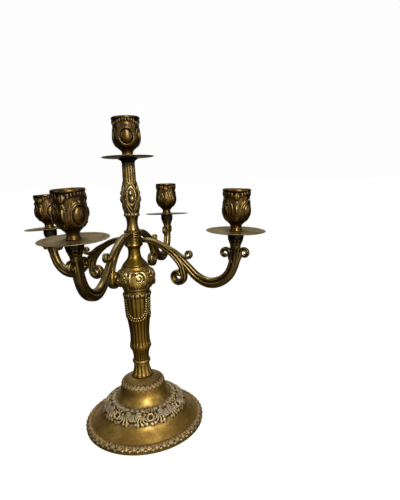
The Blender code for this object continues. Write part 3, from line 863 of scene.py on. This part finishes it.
def cup_shell(seat, facing_deg, slimming):
    """A candle cup: cabochons in double rims between veined petals, with drops and leaves under its lip."""
    cup = Turning(cup_outline(slimming), segments=252)
    count, middle = 3, 21.0
    petal_deg = facing_deg + 180 / count
    x, y = cup.around(count, middle, facing_deg)
    x = x / slimming
    cup.raise_by(dome(x, y, 7.1, 7.7, 2.1))
    for reach, height in ((8.5, 0.9), (10.3, 0.7)):
        cup.raise_by(hoop(x, y, reach, reach + 0.8, 0.9, height))
    for k in range(-4, 5):
        size = (1.2, 1.5)[k % 2]
        drop = cup.around(count, middle, facing_deg, 3.3 * slimming * k, 17.8 - 3.0 * (k / 4) ** 2)
        cup.raise_by(dome(drop[0] / slimming, drop[1], size, 1.6 * size, 0.9))
    cup.raise_by(dome(x, y - 11.2, 0.8, 1.5, 1.5))
    x, y = cup.around(count, middle, petal_deg)
    x = x / slimming
    cup.raise_by(facet(x, y + 1.0, 3.6, 11.5, 0.8))
    cup.raise_by(dome(x, y - 1.5, 1.5, 5.2, 2.1))
    cup.raise_by(dome(x, y + 7.6, 1.1, 1.5, 1.3))
    drooping = cup.around(count, middle + 18.2, petal_deg, turn_deg=180)
    cup.raise_by(leaf(*drooping, 8.5, 5.6, 1.5, veins=0.0))
    for hand in (-1, 1):
        for lean, height in ((0.0, 0.8), (3.4, 0.6)):
            vein = [
                (hand * (1.2 + 0.3 * lean), -12.0 + lean),
                (hand * (4.0 + 0.8 * lean), -5.0 + 0.8 * lean),
                (hand * (4.8 + lean), 2.0 + lean),
                (hand * (7.4 + 0.9 * lean), 9.5 + 0.6 * lean),
            ]
            cup.raise_by(stroke(x, y, vein, 1.5, height))
    # Painted shade under the lip and on the bowl's bottom, over the pan
    cup.paint_shade_between(37.8, 40.2, 0.16)
    cup.paint_shade_between(8.5, 10.5, 0.20, fade=3.5)
    inner = outline(
        [(13.4 * slimming, CUP_HEIGHT - 0.8), (SOCKET_R + 0.4, CUP_HEIGHT - 1.8)],
        [(SOCKET_R + 0.4, CUP_HEIGHT - 1.8), (SOCKET_R, CUP_HEIGHT - 4)],
        [(SOCKET_R, CUP_HEIGHT - 4), (SOCKET_R, SOCKET_FLOOR + 0.6)],
        [(SOCKET_R, SOCKET_FLOOR + 0.6), (10.4, SOCKET_FLOOR), (0.6, SOCKET_FLOOR - 0.8)],
        step=1.4,
        soften=1,
    )[1:]
    outer, proud = cup.surface()
    hole = cup.plain_rows([(0.6, 6.8), (STUD_HOLE_R, 6.7)])
    rows = np.concatenate([hole, outer, cup.plain_rows(inner)])
    # Painted shade: the socket's inside darkens towards its floor
    inside = np.linspace(0.45, 0.05, len(inner))[:, None] + 0 * cup.theta
    proud = np.concatenate([np.full(hole.shape[:2], 0.4), proud[..., 0], inside])
    return shell(rows, proud, seat, loop=False)


# ---- arms


def scroll(centre, radii, start_deg, sweep_deg):
    """Points of a spiral whose radius shrinks from the first of radii to the second."""
    steps = 40
    t = np.linspace(0, 1, steps + 1)
    angle = np.radians(start_deg + sweep_deg * t)
    radius = radii[0] + (radii[1] - radii[0]) * t**1.5
    return np.stack([centre[0] + radius * np.cos(angle), centre[1] + radius * np.sin(angle)], axis=1)


def even(path):
    """The path with its points spread evenly."""
    step = 0.8
    along = np.concatenate([[0], np.cumsum(np.linalg.norm(np.diff(path, axis=0), axis=1))])
    even_along = np.linspace(0, along[-1], max(8, int(along[-1] / step)))
    return np.stack([np.interp(even_along, along, path[:, k]) for k in (0, 1)], axis=1)


def cast_strand(path, depths, widths, grooves, seat, ball=0.0, painted_shade=0.0):
    """A cast strand swept along a path in the arm's plane, grooved along both of its sides.

    depths and widths are the section's half sizes in that plane and across it, at the path's start, middle
    and end. grooves lists (place from -1 to 1 over the depth, half width, depth in mm). ball is the half
    depth that the far end swells to, and the last argument paints shade over the last third, under the pan.
    """
    sides, rounding, squareness = 36, 1.6, 0.55
    path = even(path)
    t = np.linspace(0, 1, len(path))
    depth = np.interp(t, (0, 0.5, 1), depths)
    width = np.interp(t, (0, 0.5, 1), widths)
    length = np.linalg.norm(np.diff(path, axis=0), axis=1).sum()
    if ball:
        swell = np.exp(-(((1 - t) * length / (1.3 * ball)) ** 2))
        depth = depth + (ball - depths[2]) * swell
        width = width + 0.5 * ball * swell
    to_end = np.clip(np.minimum(t, 1 - t) * length / rounding, 0, 1)
    closing = np.sqrt(np.clip(1 - (1 - to_end) ** 2, 0.004, 1))
    normal = -normals_of(path)
    angle = (np.arange(sides) + 0.5) * TAU / sides
    rise, side = np.sin(angle), np.cos(angle)
    flatness = np.sign(side) * np.abs(side) ** squareness
    cut = sum(deep * np.exp(-(((rise - place) / half) ** 2)) for place, half, deep in grooves)
    cut = cut * (np.abs(side) > 0.25)
    across = (flatness * width[:, None] - np.sign(side) * cut) * closing[:, None]
    up = rise * depth[:, None] * closing[:, None]
    rows = np.stack([path[:, :1] + normal[:, :1] * up, across, path[:, 1:] + normal[:, 1:] * up], axis=2)
    deepest = max(deep for _, _, deep in grooves)
    proud = 0.54 - 0.54 * np.clip(cut / deepest, 0, 1) + 0.14 * (np.abs(rise) > 0.9)
    # Painted shade over the last third, under the pan
    shaded_end = painted_shade * np.clip((t[:, None] - 0.68) / 0.25, 0, 1)
    proud = np.clip(proud[None] - shaded_end, 0, 1)
    return shell(rows[:, ::-1], proud[:, ::-1], seat, loop=False)


def calyx_shell(seat):
    """The leafy cup at an arm's end."""
    calyx = Turning(
        outline(
            [(0.6, -7.4), (3.6, -7.2), (4.5, -6.0)],
            [(4.5, -6.0), (4.9, -3), (5.9, 0.5), (7.4, 4.5), (8.0, 8), (8.3, 10.4), (8.5, ARM_TOP)],
            [(8.5, ARM_TOP), (STUD_HOLE_R, ARM_TOP)],
            step=0.45,
        ),
        segments=144,
    )
    count = 6
    calyx.raise_by(leaf(*calyx.around(count, -6.5), 17.5, 6.4, 0.9))
    calyx.raise_by(leaf(*calyx.around(count, -4.0, 180 / count), 14.5, 5.0, 0.6))
    # Painted shade at the calyx's top, under the pan
    calyx.paint_shade_between(7.5, ARM_TOP, 0.30, fade=12.0)
    rows, proud = calyx.surface()
    rows[..., 2] = np.minimum(rows[..., 2], ARM_TOP)
    hole_floor = ARM_TOP - 7.3
    hole = calyx.plain_rows([(STUD_HOLE_R, hole_floor), (0.5, hole_floor)])
    # The 0.9 paints the whole calyx a little darker, as painted shade under the pan
    proud = np.concatenate([proud[..., 0] * 0.9, np.full(hole.shape[:2], 0.3)])
    return shell(np.concatenate([rows, hole]), proud, seat, loop=False)


def eye_shell(seat):
    """The bored eye at the crossbar's middle, grooved round its edge."""
    eye = Turning(
        outline(
            [(BORE_R, -3), (9.4, -3)],
            [(9.4, -3), (10.4, -2.5), (10.3, -1.6), (9.5, -1.1)],
            [(9.5, -1.1), (10.3, -0.4), (10.3, 0.6), (9.5, 1.1)],
            [(9.5, 1.1), (10.3, 1.6), (10.4, 2.5), (9.4, 3)],
            [(9.4, 3), (BORE_R, 3)],
            step=0.3,
            soften=1,
        ),
        segments=128,
    )
    rows = eye.surface()[0]
    notch = np.exp(-(((np.abs(eye.points[:, 1:]) - 1.1) / 0.35) ** 2)) * (eye.points[:, :1] > 9)
    return shell(rows, np.clip(0.6 - 0.55 * notch + 0 * eye.theta, 0, 1), seat)


def arm_strands(seat):
    """The strands of one arm: (distance from the column's axis, height above the eye's middle) in mm."""
    bracket = smooth_curve([(5.5, 0), (22, 0.1), (37.7, -5.7), (50.8, -14.2), (60.3, -25.6), (63.6, -36.7)])
    volute = scroll((56.0, -39.6), (7.6, 1.8), -2, -350)
    spine = smooth_curve([(6, 0.9), (22, 1.3), (33, -1.7), (42, -6.0), (52, -10.6), (61, -16.2), (67, -18.4)])
    bud = scroll((69.8, -14.2), (3.9, 1.6), -85, 310)
    swag = smooth_curve(
        [(54, -14.0), (60, -19.4), (69, -28.8), (80, -39.2), (92.8, -44.7), (106, -42.6), (116.5, -34.6),
         (122.8, -20.9), (ARM_REACH - 0.4, -6), (ARM_REACH, 2)]
    )
    outer_branch = smooth_curve([(123.8, -28), (126.4, -20.5), (129.0, -14.5)])
    outer_curl = scroll((134.3, -10.9), (5.0, 1.5), 185, -335)
    inner_branch = smooth_curve([(121.5, -29), (120.6, -21.5), (118.8, -14.8)])
    inner_curl = scroll((113.5, -11.1), (5.0, 1.5), -5, 335)
    lower = np.concatenate([bracket, volute[1:]])
    upper = np.concatenate([spine, bud[1:]])
    outer = np.concatenate([outer_branch, outer_curl])
    inner = np.concatenate([inner_branch, inner_curl])
    branch = ((2.6, 2.4, 1.8), (3.4, 3.2, 2.6), [(0.15, 0.3, 0.8)])
    lower_grooves = [(0.15, 0.2, 2.2), (-0.55, 0.1, 0.7)]
    swag_grooves = [(0.3, 0.15, 2.5), (-0.45, 0.09, 0.8)]
    return [
        cast_strand(lower, (2.4, 4.0, 3.1), (5.8, 4.8, 4.0), lower_grooves, seat, ball=4.0),
        cast_strand(upper, (1.7, 2.2, 1.5), (4.8, 3.2, 2.7), [(0.0, 0.25, 0.6)], seat, ball=1.7),
        # The swag's end gets painted shade under the pan
        cast_strand(swag, (3.6, 5.8, 5.2), (3.4, 5.0, 4.7), swag_grooves, seat, painted_shade=0.26),
        cast_strand(outer, *branch, seat, ball=2.3),
        cast_strand(inner, *branch, seat, ball=2.3),
    ]


def bearing_of(node):
    """Direction of a node from the column's axis, in radians."""
    low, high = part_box(node)
    return math.atan2(low.y + high.y, low.x + high.x)


def build_arms():
    """Both crossbars, with a pan and a cup on each arm's end."""
    lean = Matrix.Rotation(math.radians(ARM_LEAN_DEG), 4, "Y")
    for bar, (joint, lights) in CROSSBARS.items():
        eye = Matrix.Translation(Vector(JOINT_AT[joint]) / MM)
        shells = [eye_shell(eye)]
        for light, facing_deg, seed in lights:
            bearing = bearing_of(f"{light}_candle_cup")
            arm = eye @ Matrix.Rotation(bearing, 4, "Z")
            end = arm @ Matrix.Translation((ARM_REACH, 0, 0)) @ lean
            shells += [*arm_strands(arm), calyx_shell(end)]
            pan_seat = end @ Matrix.Translation((0, 0, ARM_TOP + GAP))
            show(f"{light}_drip_pan", [pan_shell(PAN_R, pan_seat, seed)], PAN_BRASS)
            cup_seat = pan_seat @ Matrix.Translation((0, 0, PAN_THICK + GAP))
            own_facing = facing_deg - math.degrees(bearing)
            show(f"{light}_candle_cup", [cup_shell(cup_seat, own_facing, ARM_CUP_SLIMMING)], CUP_BRASS)
        show(bar, shells, ARM_BRASS)


def build_top_light():
    show("top_drip_pan", [pan_shell(TOP_PAN_R, seat_of("top_drip_pan"), TOP_PAN_SEED)], PAN_BRASS)
    show("top_candle_cup", [cup_shell(seat_of("top_candle_cup"), FRONT_DEG, slimming=1.0)], CUP_BRASS)


def paint_solids():
    """Gives the solids that stay in sight, the washers and fasteners, their plain metal."""
    for name, obj in frame["nodes"].items():
        if not obj.hide_render:
            obj.data.materials.clear()
            obj.data.materials.append(WASHER_BRASS if SLOT_OF[name] == "pan_brass" else STEEL)


# ---- stage and camera


def add_light(name, bearing_deg, height_deg, size, power, colour):
    """A soft light that looks at the object's middle from a bearing and a height, both in degrees."""
    lamp = bpy.data.lights.new(name, "AREA")
    lamp.shape = "RECTANGLE"
    lamp.size, lamp.size_y = size
    lamp.energy = power
    lamp.color = colour
    obj = bpy.data.objects.new(name, lamp)
    bearing, rise = math.radians(bearing_deg), math.radians(height_deg)
    away = Vector((math.cos(bearing) * math.cos(rise), math.sin(bearing) * math.cos(rise), math.sin(rise)))
    obj.location = Vector((0, 0, LIGHTS_AIM_Z)) + LIGHTS_DISTANCE * away
    obj.rotation_euler = away.to_track_quat("Z", "Y").to_euler()
    bpy.context.scene.collection.objects.link(obj)


def build_stage():
    """A wide pale floor that glows as brightly as the backdrop, so that the two meet without an edge."""
    material, _, inputs = new_material("pale_floor")
    inputs["Base Color"].default_value = (0.10, 0.10, 0.10, 1.0)
    inputs["Roughness"].default_value = 1.0
    inputs["Specular IOR Level"].default_value = 0.0
    inputs["Emission Color"].default_value = (1.0, 1.0, 1.0, 1.0)
    inputs["Emission Strength"].default_value = BACKDROP
    mesh = bpy.data.meshes.new("floor")
    half, drop = 30.0, 0.0002
    corners = [(-half, -half, 0), (half, -half, 0), (half, half, 0), (-half, half, 0)]
    mesh.from_pydata(corners, [], [(0, 1, 2, 3)])
    mesh.materials.append(material)
    floor = bpy.data.objects.new("floor", mesh)
    floor.location.z = -drop
    floor.visible_glossy = False
    floor.visible_diffuse = False
    bpy.context.scene.collection.objects.link(floor)


def build_world():
    """A dim room, lit behind the object and in front of it. The camera itself sees a plain pale backdrop."""
    world = bpy.data.worlds.new("studio")
    bpy.context.scene.world = world
    world.use_nodes = True
    nodes = Nodes(world.node_tree)
    where = nodes.add("ShaderNodeTexCoord").outputs["Generated"]
    height = nodes.add("ShaderNodeSeparateXYZ", [where]).outputs["Z"]

    def glow(under, colour, bearing_deg, narrow, low, high):
        """Adds a lit stretch of the room round a bearing, between two heights: each is (none, full)."""
        bearing = math.radians(bearing_deg)
        aim = (math.cos(bearing), math.sin(bearing), 0.0)
        facing = nodes.add("ShaderNodeVectorMath", [where, aim], operation="DOT_PRODUCT").outputs["Value"]
        share = nodes.ramp(facing, narrow, 1.0)
        for none, full in (low, high):
            share = nodes.maths("MULTIPLY", share, nodes.ramp(height, none, full))
        return nodes.mix(share, under, colour)

    room = nodes.mix(nodes.ramp(height, 0.2, 1.0), (0.016, 0.014, 0.011), (0.21, 0.195, 0.175))
    room = glow(room, (0.42, 0.40, 0.36), FRONT_DEG + 180, 0.55, low=(-0.5, -0.1), high=(0.7, 0.3))
    room = glow(room, (0.60, 0.53, 0.42), FRONT_DEG + 8, 0.35, low=(-0.95, -0.35), high=(0.6, 0.0))
    seen = nodes.add("ShaderNodeLightPath").outputs["Is Camera Ray"]
    background = world.node_tree.nodes["Background"]
    nodes.feed(background.inputs["Color"], nodes.mix(seen, room, (BACKDROP, BACKDROP, BACKDROP)))


def build_camera():
    """The photograph's view: from the right of the front arm, a little below the top of the object."""
    forward = Vector(VIEW_ALONG).normalized()
    level = forward.cross(Vector((0, 0, 1))).normalized()
    above = level.cross(forward)
    roll = math.radians(VIEW_ROLL_DEG)
    right = level * math.cos(roll) + above * math.sin(roll)
    up = above * math.cos(roll) - level * math.sin(roll)
    lens = bpy.data.cameras.new("camera")
    lens.lens = LENS_MM
    lens.sensor_width = SENSOR_MM
    lens.clip_start = 0.01
    camera = bpy.data.objects.new("camera", lens)
    turned = Matrix((right, up, -forward)).transposed().to_4x4()
    camera.matrix_world = Matrix.Translation(VIEW_FROM) @ turned
    bpy.context.scene.collection.objects.link(camera)
    bpy.context.scene.camera = camera


build_camera()
build_stage()
build_world()
add_light("window", FRONT_DEG + 13, 31, size=(0.5, 1.2), power=19, colour=(1.0, 0.96, 0.88))
add_light("fill", FRONT_DEG - 65, 25, size=(0.6, 0.8), power=2.5, colour=(0.95, 0.97, 1.0))
add_light("side", FRONT_DEG + 68, 12, size=(0.6, 0.8), power=1.6, colour=(1.0, 0.98, 0.94))
add_light("back", FRONT_DEG + 175, 62, size=(0.8, 0.6), power=5, colour=(1.0, 0.97, 0.92))

build_base()
build_skirt_and_ring()
build_column()
build_knop()
build_spool()
build_stem()
build_arms()
build_top_light()
paint_solids()

bpy.context.scene.view_settings.view_transform = "Standard"
